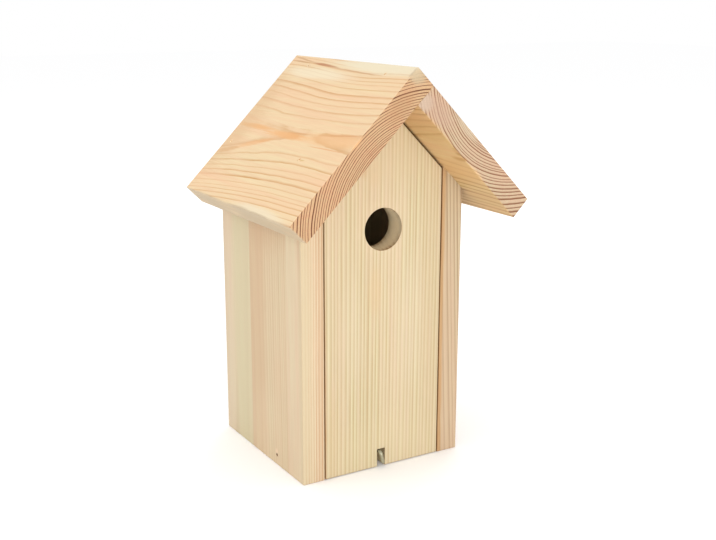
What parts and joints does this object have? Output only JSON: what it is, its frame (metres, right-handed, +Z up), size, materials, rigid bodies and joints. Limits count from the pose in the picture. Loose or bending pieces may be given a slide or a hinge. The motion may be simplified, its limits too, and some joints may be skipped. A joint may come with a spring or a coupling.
{
  "type": "nest box",
  "caption": "Wooden nest box with a pitched roof, a round entrance and a front that swings out on two nails above a turning catch.",
  "frame": {"origin": "middle of the side walls' footprint, level with the ground", "axes": "+Z up, the front faces -Y, +X is to the right seen from the front"},
  "size_m": [0.1974, 0.175, 0.3047],
  "materials": {
    "pine_walls": "planed, unfinished",
    "pine_front": "planed, unfinished",
    "pine_roof": "planed, unfinished",
    "zinc_plated_steel": "dull zinc plate"
  },
  "bodies": {
    "box": {"left_wall_front_stave": "pine_walls", "left_wall_middle_stave": "pine_walls", "left_wall_rear_stave": "pine_walls", "right_wall_front_stave": "pine_walls", "right_wall_middle_stave": "pine_walls", "right_wall_rear_stave": "pine_walls", "back_wall": "pine_walls", "floor": "pine_walls", "roof_left": "pine_roof", "roof_right": "pine_roof", "pivot_nail_left": "zinc_plated_steel", "pivot_nail_right": "zinc_plated_steel", "floor_nail_left": "zinc_plated_steel", "floor_nail_right": "zinc_plated_steel", "eave_nail_left_front": "zinc_plated_steel", "eave_nail_left_rear": "zinc_plated_steel", "eave_nail_right_front": "zinc_plated_steel", "eave_nail_right_rear": "zinc_plated_steel", "ridge_nail_front": "zinc_plated_steel", "ridge_nail_rear": "zinc_plated_steel"},
    "front": {"front_panel": "pine_front"},
    "catch": {"catch_hook": "zinc_plated_steel"}
  },
  "joints": [
    {"name": "front_swing", "type": "hinge", "parent": "box", "child": "front", "pos_m": [0, -0.058, 0.20004], "axis": [-1, 0, 0], "range_deg": [0, 90]},
    {"name": "catch_turn", "type": "hinge", "parent": "box", "child": "catch", "pos_m": [-0.0033, -0.058, 0.0128], "axis": [0, -1, 0], "range_deg": [-103, 77]}
  ]
}
